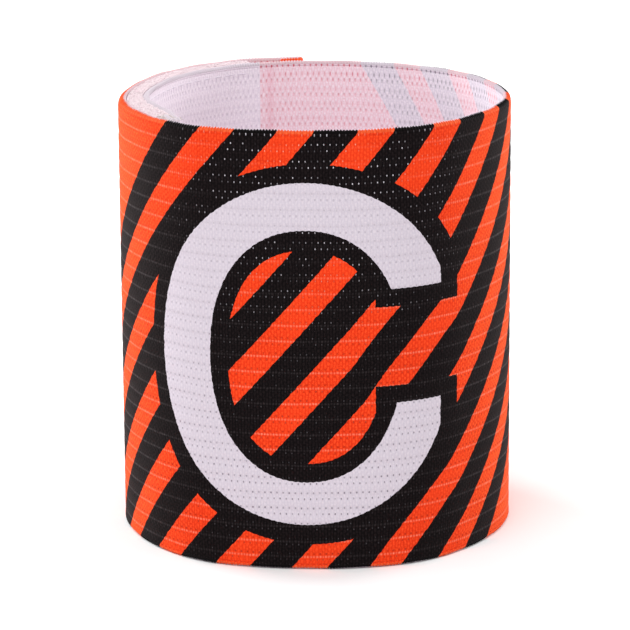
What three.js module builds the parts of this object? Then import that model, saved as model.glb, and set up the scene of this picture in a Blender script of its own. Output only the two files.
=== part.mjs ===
// Captain armband: one knitted elastic strip wound into a standing loop, its ends overlapping
// at the left and the back. A hook tape inside the outer end meets a loop tape outside the inner end.
// Millimetres. +Z is the loop's axis and the printed letter's up, the letter faces -Y.
import * as THREE from 'three';

// The strip
const BAND_HEIGHT = 75;          // width of the elastic, standing upright
const LOOP_RADIUS = 34.1;        // outer face of the single wall
const WALL = 1.2;                // thickness of the knitted elastic
const RIM_ROUND = 0.45;          // rounding of the two rims
const FOLD_GAP = 0.2;            // air between the elastic and its folded hem
const OUTER_HEM = 3.1;           // length folded inward at the outer end
const INNER_HEM = 3.4;           // length folded outward at the inner end

// The winding, in degrees from the letter's centre, positive to the right of the letter
const FULL_TURN = 360;
const OUTER_END = -175;
const INNER_END = 312;
const OVERLAP = INNER_END - OUTER_END - FULL_TURN;

// The fastener
const SEAT = 0.25;               // air between pieces that lie on each other
const HOOK_THICKNESS = 0.85;
const PILE_THICKNESS = 1.0;      // loop tape where the hooks press on it
const TAPE_INSET = 0.8;          // tapes end this far inside each rim
const TAPE_ROUND = 0.15;
const HOOK_SPAN = 71;            // degrees, from the outer hem on
const LOOP_SPAN = 105.5;         // degrees, back from the inner hem

const WRAP_GAP = HOOK_THICKNESS + PILE_THICKNESS + 3 * SEAT;
const HEM_ROOM = WALL + FOLD_GAP + SEAT;

// Steps of the faceted outline, in degrees and in counts
const STEP = 2.5;
const FOLD_STEPS = 8;
const HEM_STEPS = 3;

// The loop without its overlap: outer face, degrees from the letter, share of LOOP_RADIUS
const LOOP_FACE = [
  { at: -180, share: 1.008 },
  { at: -165, share: 1.006 },
  { at: -158, share: 1.000 },
  { at: -150, share: 0.993 },
  { at: -140, share: 0.990 },
  { at: -130, share: 0.990 },
  { at: -120, share: 0.987 },
  { at: -110, share: 0.984 },
  { at: -100, share: 0.985 },
  { at: -85, share: 0.989 },
  { at: -72, share: 0.990 },
  { at: -61, share: 0.996 },
  { at: -50, share: 1.008 },
  { at: -35, share: 1.019 },
  { at: -24, share: 1.006 },
  { at: -12, share: 0.988 },
  { at: 0, share: 0.985 },
  { at: 12, share: 0.998 },
  { at: 28, share: 1.015 },
  { at: 40, share: 1.009 },
  { at: 52, share: 0.994 },
  { at: 70, share: 0.989 },
  { at: 90, share: 0.992 },
  { at: 107, share: 0.987 },
  { at: 120, share: 0.994 },
  { at: 135, share: 1.001 },
  { at: 155, share: 1.001 },
  { at: 180, share: 1.008 },
];

// Along the overlap, 0 at the outer end and 1 at the inner end: how far the outer wrap
// lies outside the loop, as a share of the distance between the wraps
const OUTER_LIFT = [
  { at: 0, share: 1.00 },
  { at: 0.079, share: 0.98 },
  { at: 0.134, share: 0.96 },
  { at: 0.197, share: 0.88 },
  { at: 0.276, share: 0.66 },
  { at: 0.354, share: 0.44 },
  { at: 0.433, share: 0.22 },
  { at: 0.512, share: 0.08 },
  { at: 0.590, share: 0.02 },
  { at: 0.670, share: 0 },
  { at: 1, share: 0 },
];

// Along the overlap: space between the wraps, share of WRAP_GAP
const WRAP_SPACE = [
  { at: 0, share: 1.21 },
  { at: 0.079, share: 1.265 },
  { at: 0.134, share: 1.28 },
  { at: 0.197, share: 1.14 },
  { at: 0.276, share: 1.10 },
  { at: 0.354, share: 1.03 },
  { at: 0.433, share: 1.00 },
  { at: 0.590, share: 1.00 },
  { at: 0.654, share: 1.02 },
  { at: 0.709, share: 1.10 },
  { at: 0.764, share: 1.19 },
  { at: 0.811, share: 1.27 },
  { at: 0.874, share: 1.41 },
  { at: 0.929, share: 1.40 },
  { at: 1, share: 1.30 },
];

// Along the overlap: how far the inner end closes on to the outer wrap, 1 when only the hem fits
const END_CLOSE = [
  { at: 0, share: 0 },
  { at: 0.860, share: 0 },
  { at: 0.900, share: 0.04 },
  { at: 0.930, share: 0.14 },
  { at: 0.960, share: 0.45 },
  { at: 0.980, share: 0.72 },
  { at: 1, share: 0.95 },
];

// Pile of the loop tape, in degrees past the hook tape's end: 0 stays at the level of the hooks,
// 1 swells on to the outer wrap
const PILE_SWELL = [
  { at: 0, share: 0 },
  { at: 1, share: 0 },
  { at: 13, share: 0.5 },
  { at: 26, share: 0.95 },
  { at: 38, share: 1 },
  { at: 60, share: 1 },
];

// Smooth curve through a table's rows
function shareAt(table, at) {
  const last = table.length - 1;
  let i = 0;
  while (i < last - 1 && at > table[i + 1].at) i += 1;
  const before = table[Math.max(i - 1, 0)];
  const low = table[i];
  const high = table[i + 1];
  const after = table[Math.min(i + 2, last)];
  const span = high.at - low.at;
  const t = THREE.MathUtils.clamp((at - low.at) / span, 0, 1);
  const lowSlope = (high.share - before.share) / (high.at - before.at) * span;
  const highSlope = (after.share - low.share) / (after.at - low.at) * span;
  const t2 = t * t;
  const t3 = t2 * t;
  return (2 * t3 - 3 * t2 + 1) * low.share + (t3 - 2 * t2 + t) * lowSlope
    + (3 * t2 - 2 * t3) * high.share + (t3 - t2) * highSlope;
}

// Distance between the same faces of the two wraps, at a share of the overlap
function wrapPitch(along) {
  const space = WRAP_GAP * shareAt(WRAP_SPACE, along);
  return WALL + THREE.MathUtils.lerp(space, HEM_ROOM, shareAt(END_CLOSE, along));
}

// Radius of the strip's printed face at a turn angle, on either wrap
function printedFace(turn) {
  const loop = LOOP_RADIUS * shareAt(LOOP_FACE, turn > FULL_TURN / 2 ? turn - FULL_TURN : turn);
  if (turn < INNER_END - FULL_TURN) {
    const along = (turn - OUTER_END) / OVERLAP;
    return loop + wrapPitch(along) * shareAt(OUTER_LIFT, along);
  }
  if (turn > OUTER_END + FULL_TURN) {
    const along = (turn - FULL_TURN - OUTER_END) / OVERLAP;
    return loop - wrapPitch(along) * (1 - shareAt(OUTER_LIFT, along));
  }
  return loop;
}

function centreFace(turn) {
  return printedFace(turn) - WALL / 2;
}

function backFace(turn) {
  return printedFace(turn) - WALL;
}

function planPoint(turn, radius) {
  const angle = THREE.MathUtils.degToRad(turn - 90);
  return new THREE.Vector2(radius * Math.cos(angle), radius * Math.sin(angle));
}

function turnsBetween(first, last) {
  const count = Math.ceil((last - first) / STEP);
  return Array.from({ length: count + 1 }, (_, i) => first + (last - first) * i / count);
}

// The turn that a length of strip takes up at one of its ends
function turnOf(length, endTurn) {
  return THREE.MathUtils.radToDeg(length / centreFace(endTurn));
}

function leftOf(direction) {
  return new THREE.Vector2(-direction.y, direction.x);
}

// A hem: half-circle fold past the strip's end, then straight back beside the strip.
// ahead is +1 or -1 along the turn, side is +1 outward or -1 inward.
function hemLine(endTurn, ahead, side, length) {
  const fold = (WALL + FOLD_GAP) / 2;
  const end = planPoint(endTurn, centreFace(endTurn));
  const out = end.clone().normalize();
  const along = leftOf(out);
  const points = [];
  for (let i = 1; i <= FOLD_STEPS; i += 1) {
    const angle = Math.PI * i / FOLD_STEPS;
    points.push(end.clone()
      .addScaledVector(along, ahead * fold * Math.sin(angle))
      .addScaledVector(out, side * fold * (1 - Math.cos(angle))));
  }
  for (let i = 1; i <= HEM_STEPS; i += 1) {
    const turn = endTurn - ahead * turnOf(length, endTurn) * i / HEM_STEPS;
    points.push(planPoint(turn, centreFace(turn) + side * 2 * fold));
  }
  return points;
}

// Plan outline of a wall that follows a line, square to it at each point
function wallOutline(line, thickness) {
  const last = line.length - 1;
  const side = (sign) => line.map((point, i) => {
    const along = line[Math.min(i + 1, last)].clone().sub(line[Math.max(i - 1, 0)]).normalize();
    return point.clone().addScaledVector(leftOf(along), sign * thickness / 2);
  });
  return [...side(-1), ...side(1).reverse()];
}

// A plan outline raised between two heights, its rims rounded as far as its thickness lets them
function raised(outline, low, high, rounding, thickness) {
  const round = Math.min(rounding, 0.4 * thickness);
  const geometry = new THREE.ExtrudeGeometry(new THREE.Shape(outline), {
    depth: high - low - 2 * round,
    steps: 1,
    curveSegments: 1,
    bevelEnabled: true,
    bevelThickness: round,
    bevelSize: round,
    bevelOffset: -round,
    bevelSegments: 2,
  });
  geometry.translate(0, 0, low + round);
  return geometry;
}

function bandGeometry() {
  const line = [
    ...hemLine(OUTER_END, -1, -1, OUTER_HEM).reverse(),
    ...turnsBetween(OUTER_END, INNER_END).map((turn) => planPoint(turn, centreFace(turn))),
    ...hemLine(INNER_END, 1, 1, INNER_HEM),
  ];
  return raised(wallOutline(line, WALL), 0, BAND_HEIGHT, RIM_ROUND, WALL);
}

// A tape between two faces given as radii over a range of turn angles
function tapeGeometry(first, last, nearFace, farFace, thickness) {
  const turns = turnsBetween(first, last);
  const far = turns.map((turn) => planPoint(turn, farFace(turn)));
  const near = turns.map((turn) => planPoint(turn, nearFace(turn))).reverse();
  return raised([...far, ...near], TAPE_INSET, BAND_HEIGHT - TAPE_INSET, TAPE_ROUND, thickness);
}

// The hook tape starts past the outer hem, on the back of the outer wrap
const hookStart = OUTER_END + turnOf(OUTER_HEM + 2 * SEAT, OUTER_END);
const hookEnd = hookStart + HOOK_SPAN;
const hookFar = (turn) => backFace(turn) - SEAT;
const hookNear = (turn) => hookFar(turn) - HOOK_THICKNESS;

// The loop tape ends before the inner hem, on the printed face of the inner wrap
const loopEnd = INNER_END - turnOf(INNER_HEM + 2 * SEAT, INNER_END);
const loopStart = loopEnd - LOOP_SPAN;
const loopNear = (turn) => printedFace(turn) + SEAT;
function loopFar(turn) {
  const across = turn - FULL_TURN;
  const swell = shareAt(PILE_SWELL, across - hookEnd);
  return THREE.MathUtils.lerp(hookNear(across), hookFar(across) + SEAT, swell) - SEAT;
}

function piece(name, geometry, colour, roughness) {
  const material = new THREE.MeshStandardMaterial({ color: colour, roughness, metalness: 0 });
  material.name = name;
  const mesh = new THREE.Mesh(geometry, material);
  mesh.name = name;
  return mesh;
}

const armband = new THREE.Group();
armband.name = 'captain_armband';
armband.add(
  piece('band', bandGeometry(), '#fb5424', 0.85),
  piece('hook_tape',
    tapeGeometry(hookStart, hookEnd, hookNear, hookFar, HOOK_THICKNESS), '#efe6ee', 0.6),
  piece('loop_tape',
    tapeGeometry(loopStart, loopEnd, loopNear, loopFar, PILE_THICKNESS), '#f3edf4', 0.95),
);

// The origin is the middle of the base
const middle = new THREE.Box3().setFromObject(armband).getCenter(new THREE.Vector3());
armband.children.forEach((mesh) => mesh.geometry.translate(-middle.x, -middle.y, 0));

export default armband;
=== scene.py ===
"""Captain armband: a printed knitted elastic strip wound into a standing loop and closed by a
hook tape and a loop tape. Lengths are millimetres until they reach a mesh, which is in metres."""

import math
import random

import bmesh
import bpy
from mathutils import Matrix, Vector


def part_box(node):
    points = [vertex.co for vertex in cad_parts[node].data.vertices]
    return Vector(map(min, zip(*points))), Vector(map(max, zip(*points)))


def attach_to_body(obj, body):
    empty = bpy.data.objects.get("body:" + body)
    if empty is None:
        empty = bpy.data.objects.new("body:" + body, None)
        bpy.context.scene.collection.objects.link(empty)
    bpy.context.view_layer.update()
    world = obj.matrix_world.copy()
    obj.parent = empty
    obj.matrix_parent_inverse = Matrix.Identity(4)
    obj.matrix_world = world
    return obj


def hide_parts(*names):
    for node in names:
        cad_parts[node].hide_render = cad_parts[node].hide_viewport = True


bl_info = {
    "name": "Captain armband",
    "version": (1, 0, 0),
    "blender": (4, 5, 0),
    "location": "View3D > Sidebar > Armband",
    "description": "Builds a printed elastic captain armband around its packed solids",
    "category": "Add Mesh",
}

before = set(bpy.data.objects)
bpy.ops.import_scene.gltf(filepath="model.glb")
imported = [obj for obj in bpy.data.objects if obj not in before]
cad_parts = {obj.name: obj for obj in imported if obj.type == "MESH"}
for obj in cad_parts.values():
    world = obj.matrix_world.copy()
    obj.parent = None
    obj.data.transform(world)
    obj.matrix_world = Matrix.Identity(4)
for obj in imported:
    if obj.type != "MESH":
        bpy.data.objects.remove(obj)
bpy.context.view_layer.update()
BAND_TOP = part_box("band")[1]

MM = 0.001

# The winding, as the solids have it: degrees from the letter's centre, positive to its right
FULL_TURN = 360.0
OUTER_END = -175.0
INNER_END = 312.0
OVERLAP = INNER_END - OUTER_END - FULL_TURN
HOOK_SPAN = 71.0
LOOP_SPAN = 105.5
LOOP_AXIS = Vector((-0.075, -2.482))     # where the winding's centre lies in the frame
STRIP_PER_DEGREE = 33.9 * math.pi / 180  # length of print that one degree carries

# The printed face's radius as a share of the loop radius, by turn
LOOP_FACE = (
    (-180, 1.008), (-165, 1.006), (-158, 1.000), (-150, 0.993), (-140, 0.990), (-130, 0.990),
    (-120, 0.987), (-110, 0.984), (-100, 0.985), (-85, 0.989), (-72, 0.990), (-61, 0.996),
    (-50, 1.008), (-35, 1.019), (-24, 1.006), (-12, 0.988), (0, 0.985), (12, 0.998),
    (28, 1.015), (40, 1.009), (52, 0.994), (70, 0.989), (90, 0.992), (107, 0.987),
    (120, 0.994), (135, 1.001), (155, 1.001), (180, 1.008),
)
# The next three run along the overlap, from 0 at the outer end to 1 at the inner one: the share
# of the wraps' spacing by which the outer wrap stands out, the rest being the inner wrap's
OUTER_LIFT = (
    (0, 1.00), (0.079, 0.98), (0.134, 0.96), (0.197, 0.88), (0.276, 0.66), (0.354, 0.44),
    (0.433, 0.22), (0.512, 0.08), (0.590, 0.02), (0.670, 0), (1, 0),
)
# The air between the wraps as a share of what both tapes fill
WRAP_SPACE = (
    (0, 1.21), (0.079, 1.265), (0.134, 1.28), (0.197, 1.14), (0.276, 1.10), (0.354, 1.03),
    (0.433, 1.00), (0.590, 1.00), (0.654, 1.02), (0.709, 1.10), (0.764, 1.19), (0.811, 1.27),
    (0.874, 1.41), (0.929, 1.40), (1, 1.30),
)
# How far that air has closed to the room of a bare hem
END_CLOSE = (
    (0, 0), (0.860, 0), (0.900, 0.04), (0.930, 0.14), (0.960, 0.45), (0.980, 0.72), (1, 0.95),
)
# How far the pile has swollen back from pressed to free, by degrees past the hook tape
PILE_SWELL = ((0, 0), (1, 0), (13, 0.5), (26, 0.95), (38, 1), (60, 1))
# How far the top of the rim leans inward, in mm, by degrees from the letter's centre
RIM_LEAN = (
    (-180, 0.15), (-130, 0.2), (-105, 0.55), (-85, 0.6), (-60, 0.3), (-35, 0.15), (40, 0.15),
    (70, 0.3), (90, 0.4), (115, 0.3), (140, 0.15), (180, 0.15),
)


def linear(colour):
    """An sRGB hex colour as linear values with alpha."""
    channels = [int(colour[i:i + 2], 16) / 255 for i in (1, 3, 5)]
    return (*(c / 12.92 if c <= 0.04045 else ((c + 0.055) / 1.055) ** 2.4 for c in channels), 1.0)


def length_property(name, description, default):
    """A length whose default is given in mm."""
    return bpy.props.FloatProperty(
        name=name, description=description, default=default * MM, min=0.0, precision=5,
        unit="LENGTH")


def colour_property(name, description, default):
    return bpy.props.FloatVectorProperty(
        name=name, description=description, default=linear(default), size=4,
        subtype="COLOR", min=0.0, max=1.0)


class ArmbandSizes(bpy.types.PropertyGroup):
    """Sizes of the armband, in millimetres."""
    height: length_property("Band height", "Width of the elastic, standing upright",
                            round(BAND_TOP.z / MM, 3))
    radius: length_property("Loop radius", "Printed face of the single wall", 34.1)
    wall: length_property("Wall", "Thickness of the knitted elastic", 1.2)
    rim_round: length_property("Rim rounding", "Height of the rounded rims", 0.34)
    fold_gap: length_property("Fold gap", "Air inside a folded hem", 0.2)
    outer_hem: length_property("Outer hem", "Length folded inward at the outer end", 3.1)
    inner_hem: length_property("Inner hem", "Length folded outward at the inner end", 3.4)
    seat: length_property("Seat", "Air between pieces that lie on each other", 0.25)
    hook_thickness: length_property("Hook tape", "Thickness with its hooks", 0.85)
    pile_thickness: length_property("Pressed pile", "Loop tape under the hooks", 1.0)
    tape_inset: length_property("Tape inset", "Tapes end this far inside each rim", 0.8)
    tape_ground: length_property("Tape ground", "Woven ground of each tape", 0.38)
    tooth: length_property("Rim teeth", "How far the rim's yarn loops stand out", 0.32)
    seam_inset: length_property("Seam inset", "Tape seams run this far inside a rim", 1.9)
    rib_depth: length_property("Rib depth", "Depth of the grooves between knit ribs", 0.1)


class ArmbandColours(bpy.types.PropertyGroup):
    """Colours of the armband."""
    orange: colour_property("Orange", "Ground of the print", "#F64C22")
    black: colour_property("Black", "Diagonal stripes and the letter's outline", "#1C1516")
    white: colour_property("White", "The letter, left undyed", "#D4CAD3")
    back: colour_property("Back", "Undyed back of the elastic", "#FFF7FE")
    pile: colour_property("Pile", "Brushed pile of the loop tape", "#F3E4E8")
    tape: colour_property("Tape", "Woven ground of both tapes", "#F8F4FA")
    thread: colour_property("Thread", "Dark thread of the end seams", "#3A2E36")


class Millimetres:
    """The armband's sizes, read in mm."""

    def __getattr__(self, name):
        return getattr(bpy.context.scene.armband_sizes, name) / MM


def sizes():
    return Millimetres()


def colours():
    return bpy.context.scene.armband_colours


# ---------------------------------------------------------------- the winding

def share_at(table, at):
    """Smooth curve through a table's rows."""
    last = len(table) - 1
    i = 0
    while i < last - 1 and at > table[i + 1][0]:
        i += 1
    before, low, high, after = (table[max(i - 1, 0)], table[i], table[i + 1],
                                table[min(i + 2, last)])
    span = high[0] - low[0]
    t = min(max((at - low[0]) / span, 0.0), 1.0)
    low_slope = (high[1] - before[1]) / (high[0] - before[0]) * span
    high_slope = (after[1] - low[1]) / (after[0] - low[0]) * span
    return ((2 * t ** 3 - 3 * t ** 2 + 1) * low[1] + (t ** 3 - 2 * t ** 2 + t) * low_slope
            + (3 * t ** 2 - 2 * t ** 3) * high[1] + (t ** 3 - t ** 2) * high_slope)


def mix(a, b, share):
    return a + (b - a) * share


def half_turn(turn):
    """The same place on the loop, from -180 to 180 degrees."""
    return (turn + 180.0) % FULL_TURN - 180.0


def wrap_pitch(along):
    size = sizes()
    gap = size.hook_thickness + size.pile_thickness + 3 * size.seat
    hem_room = size.wall + size.fold_gap + size.seat
    return size.wall + mix(gap * share_at(WRAP_SPACE, along), hem_room,
                           share_at(END_CLOSE, along))


def printed_face(turn):
    """Radius of the strip's printed face, on either wrap."""
    loop = sizes().radius * share_at(LOOP_FACE, turn - FULL_TURN if turn > 180 else turn)
    if turn < INNER_END - FULL_TURN:
        along = (turn - OUTER_END) / OVERLAP
        return loop + wrap_pitch(along) * share_at(OUTER_LIFT, along)
    if turn > OUTER_END + FULL_TURN:
        along = (turn - FULL_TURN - OUTER_END) / OVERLAP
        return loop - wrap_pitch(along) * (1 - share_at(OUTER_LIFT, along))
    return loop


def centre_face(turn):
    return printed_face(turn) - sizes().wall / 2


def back_face(turn):
    return printed_face(turn) - sizes().wall


def plan_point(turn, radius):
    angle = math.radians(turn - 90.0)
    return Vector((radius * math.cos(angle), radius * math.sin(angle)))


def turn_of(length, end_turn):
    return math.degrees(length / centre_face(end_turn))


def tape_turns():
    """First and last turn of the hook tape and of the loop tape."""
    size = sizes()
    hook = OUTER_END + turn_of(size.outer_hem + 2 * size.seat, OUTER_END)
    loop = INNER_END - turn_of(size.inner_hem + 2 * size.seat, INNER_END)
    return (hook, hook + HOOK_SPAN), (loop - LOOP_SPAN, loop)


def spaced(first, last, step):
    count = max(1, math.ceil(abs(last - first) / step))
    return [mix(first, last, i / count) for i in range(count + 1)]


def rim_lean(turn, z):
    """How far a point near the top of the band leans inward."""
    share = (z - sizes().height + 1.6) / 1.6
    return share_at(RIM_LEAN, half_turn(turn)) * max(share, 0.0) ** 2


# ---------------------------------------------------------------- meshes

class Station:
    """One place along a wound piece: its print length, turn, and its back and front points."""

    def __init__(self, length, turn, back, front):
        self.length, self.turn, self.back, self.front = length, turn, back, front


def hem_stations(end_turn, ahead, side, length, fold_steps, hem_steps):
    """Centre points of a hem: half-circle fold past the strip's end, then back beside it."""
    size = sizes()
    fold = (size.wall + size.fold_gap) / 2
    end = plan_point(end_turn, centre_face(end_turn))
    out = end.normalized()
    along = Vector((-out.y, out.x))
    run = end_turn * STRIP_PER_DEGREE
    points = []
    for i in range(1, fold_steps + 1):
        angle = math.pi * i / fold_steps
        points.append((run + ahead * fold * angle, end_turn,
                       end + along * ahead * fold * math.sin(angle)
                       + out * side * fold * (1 - math.cos(angle))))
    for i in range(1, hem_steps + 1):
        share = i / hem_steps
        turn = end_turn - ahead * turn_of(length, end_turn) * share
        points.append((run + ahead * (fold * math.pi + length * share), turn,
                       plan_point(turn, centre_face(turn) + side * 2 * fold)))
    return points


def band_stations(step, fold_steps=10, hem_steps=5):
    """The whole strip, from the cut edge of one hem to the other's."""
    size = sizes()
    line = hem_stations(OUTER_END, -1, -1, size.outer_hem, fold_steps, hem_steps)[::-1]
    line += [(turn * STRIP_PER_DEGREE, turn, plan_point(turn, centre_face(turn)))
             for turn in spaced(OUTER_END, INNER_END, step)]
    line += hem_stations(INNER_END, 1, 1, size.inner_hem, fold_steps, hem_steps)
    last = len(line) - 1
    stations = []
    for i, (length, turn, point) in enumerate(line):
        ahead = (line[min(i + 1, last)][2] - line[max(i - 1, 0)][2]).normalized()
        out = Vector((ahead.y, -ahead.x)) * size.wall / 2
        stations.append(Station(length, turn, point - out, point + out))
    return stations


def tape_stations(first, last, near, far, step=1.4):
    return [Station(turn * STRIP_PER_DEGREE, turn, plan_point(turn, near(turn)),
                    plan_point(turn, far(turn))) for turn in spaced(first, last, step)]


def section_rows(low, high, rounding, per_side, rim_steps):
    """Rows around a wall's section, from the back's lowest row round to it again: height, share
    of the wall from back to front, face kind (0 front, 1 rim, 2 back), and which way is out."""
    inside = spaced(low + rounding, high - rounding, (high - low - 2 * rounding) / per_side)
    arc = [math.pi * i / rim_steps for i in range(1, rim_steps)]
    rows = [(z, 0.0, 2, -1.0, 0.0) for z in inside]
    rows += [(high - rounding + rounding * math.sin(a), (1 - math.cos(a)) / 2, 1,
              -math.cos(a), math.sin(a)) for a in arc]
    rows += [(z, 1.0, 0, 1.0, 0.0) for z in inside[::-1]]
    rows += [(low + rounding - rounding * math.sin(a), (1 + math.cos(a)) / 2, 1,
              math.cos(a), -math.sin(a)) for a in arc]
    return rows + rows[:1]


def wound_mesh(name, stations, rows, relief=None):
    """A grid bent round the winding and closed into a sleeve, its ends pinched shut.
    relief(station, row) is how far a point stands out from the wall, in mm."""
    across, around = len(stations) - 1, len(rows) - 1
    closing = 0.0, 0.45, 0.8
    mesh = bmesh.new()
    bmesh.ops.create_grid(mesh, x_segments=across, y_segments=around, size=0.5)
    strip = mesh.loops.layers.uv.new("strip")
    share_layer = mesh.verts.layers.float.new("front_share")
    for face in mesh.faces:
        face.smooth = True
        middle = face.calc_center_median()
        index = min(int((middle.y + 0.5) * around), around - 1)
        kinds = rows[index][2], rows[index + 1][2]
        face.material_index = kinds[0] if kinds[0] == kinds[1] else 1 if max(kinds) < 3 else 0
        for loop in face.loops:
            station = stations[round((loop.vert.co.x + 0.5) * across)]
            z = rows[round((loop.vert.co.y + 0.5) * around)][0]
            loop[strip].uv = (station.length * MM, z * MM)
    for vert in mesh.verts:
        i = round((vert.co.x + 0.5) * across)
        station, row = stations[i], rows[round((vert.co.y + 0.5) * around)]
        z, share, _, outward, upward = row
        vert[share_layer] = share
        steps_in = min(i, across - i)
        width = closing[steps_in] if steps_in < len(closing) else 1.0
        stand = relief(station, row) * width if relief else 0.0
        point = station.back.lerp(station.front, 0.5 + (share - 0.5) * width)
        point += (station.front - station.back).normalized() * outward * stand
        vert.co = placed(point, station.turn, z + upward * stand)
    bmesh.ops.remove_doubles(mesh, verts=mesh.verts, dist=0.002 * MM)
    bmesh.ops.recalc_face_normals(mesh, faces=mesh.faces)
    return finished(name, mesh)


def placed(point, turn, z):
    """A plan point of the winding at a height, leaning in at the rim, in the frame and metres."""
    point = point - point.normalized() * rim_lean(turn, z) + LOOP_AXIS
    return Vector((point.x, point.y, z)) * MM


def at_face(turn, radius, z):
    return placed(plan_point(turn, radius), turn, z)


def tubes(name, paths, radius, roundness=0):
    """Closed tubes of one thickness, in mm, along paths in the frame, as one mesh."""
    curve = bpy.data.curves.new(name, "CURVE")
    curve.dimensions = "3D"
    curve.bevel_depth = radius * MM
    curve.bevel_resolution = roundness
    curve.use_fill_caps = True
    for path in paths:
        spline = curve.splines.new("POLY")
        spline.points.add(len(path) - 1)
        spline.points.foreach_set("co", [value for point in path for value in (*point, 1.0)])
    carrier = bpy.data.objects.new(name, curve)
    data = bpy.data.meshes.new_from_object(carrier)
    data.name = name
    data.shade_smooth()
    bpy.data.objects.remove(carrier)
    bpy.data.curves.remove(curve)
    piece = bpy.data.objects.new(name, data)
    bpy.context.scene.collection.objects.link(piece)
    return piece


def finished(name, mesh):
    """Turns a bmesh into a named object at the origin."""
    data = bpy.data.meshes.new(name)
    mesh.to_mesh(data)
    mesh.free()
    piece = bpy.data.objects.new(name, data)
    bpy.context.scene.collection.objects.link(piece)
    return piece


def attach(piece, materials, node=None):
    """Gives a piece its materials and rides it on the one body, in the place of its solid."""
    for material in materials:
        piece.data.materials.append(material)
    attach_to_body(piece, "root")
    if node:
        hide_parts(node)


# ---------------------------------------------------------------- nodes

MATH, VECTOR, MIX, NOISE = ("ShaderNodeMath", "ShaderNodeVectorMath", "ShaderNodeMix",
                            "ShaderNodeTexNoise")
RANGE, SPLIT, JOIN = "ShaderNodeMapRange", "ShaderNodeSeparateXYZ", "ShaderNodeCombineXYZ"


def add_node(tree, kind, inputs=(), **settings):
    """Adds a node with its settings. Inputs go by place or by name, each a value, a socket or a
    node, whose first output in use is taken."""
    node = tree.nodes.new(kind)
    for name, value in settings.items():
        setattr(node, name, value)
    if isinstance(inputs, dict):
        pairs = [(node.inputs[name], value) for name, value in inputs.items()]
    else:
        pairs = zip([socket for socket in node.inputs if socket.enabled], inputs)
    for socket, value in pairs:
        if isinstance(value, bpy.types.Node):
            value = next(out for out in value.outputs if out.enabled)
        if isinstance(value, bpy.types.NodeSocket):
            tree.links.new(value, socket)
        elif value is not None:
            socket.default_value = value
    return node


def new_group(name, outputs):
    """A node group that reads the place on the strip, in mm."""
    tree = bpy.data.node_groups.new(name, "ShaderNodeTree")
    tree.interface.new_socket("Strip", in_out="INPUT", socket_type="NodeSocketVector")
    for output in outputs:
        tree.interface.new_socket(output, in_out="OUTPUT", socket_type="NodeSocketFloat")
    return tree, add_node(tree, "NodeGroupInput")


# The print, in mm along the strip from the letter's centre and up from the lower rim
STRIPE_REPEAT = 13.65
STRIPE_ORANGE = 6.2
STRIPE_START = 4.72
STRIPE_LEAN = 0.894          # strip length per mm of height
STRIPE_FIRST, STRIPE_LAST = -2, 7
PRINT_END = 116.7            # the strip is left white from here on, under the loop tape
PINK_LINE = 114.7          # a narrow, pinker line on the back just before the print's end
# How the stripes bow and tilt with the height over the print's middle, and growing with s
PRINT_MIDDLE, PRINT_TOP = 37.0, 74.0
BOW, BOW_GROWTH = -0.00048, -0.000025
TILT, TILT_GROWTH = 0.0129, 0.00031
BOW_FADE, BOW_REST = (46.0, 60.0), 0.67
SQUEEZE_FROM, SQUEEZE = 60.5, 0.132      # past here they stand closer
STEEPER, STEEPER_BY = (52.0, 80.0), 0.154
# Where the stripes are pulled aside right of the letter: centre, half size, how far
STRIPE_PULLS = (((16.5, 37.5), (11.0, 14.0), 1.15), ((18.0, 7.0), (11.0, 12.0), 0.75))
# The letter's ovals: centre, half size, and power, which is over 2 where an oval is squarer
BODY_OVAL = (-1.66, 37.05), (26.53, 29.19), 2.03
COUNTER_OVAL = (-1.74, 36.74), (16.37, 21.5), 2.18
OUTLINE_OVAL = (-1.09, 36.95), (30.17, 32.46), 2.07
HOLE_OVAL = (-1.76, 36.66), (13.23, 18.18), 2.27
LETTER_RIGHT = 22.0          # the letter's two ends are cut here, and its outline there
OUTLINE_RIGHT = 25.9
MOUTH = 28.5, 48.0           # heights of the letter's two ends
MOUTH_LEFT = 8.0
SLOT = 31.5, 45.0            # between these heights the stripes run on out of the mouth
SLOT_LEFT = 10.0


def oval(tree, s, z, centre, half, power=2.0):
    """Nodes whose value is under 1 inside an oval."""
    total = None
    for place, middle, reach in ((s, centre[0], half[0]), (z, centre[1], half[1])):
        off = add_node(tree, MATH, (place, middle), operation="SUBTRACT")
        off = add_node(tree, MATH, (off, reach), operation="DIVIDE")
        off = add_node(tree, MATH, (off,), operation="ABSOLUTE")
        off = add_node(tree, MATH, (off, power), operation="POWER")
        total = off if total is None else add_node(tree, MATH, (total, off), operation="ADD")
    return total


def between(tree, value, low, high):
    """Nodes that are 1 between two values."""
    above = add_node(tree, MATH, (value, low), operation="GREATER_THAN")
    below = add_node(tree, MATH, (value, high), operation="LESS_THAN")
    return add_node(tree, MATH, (above, below), operation="MULTIPLY")


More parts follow.
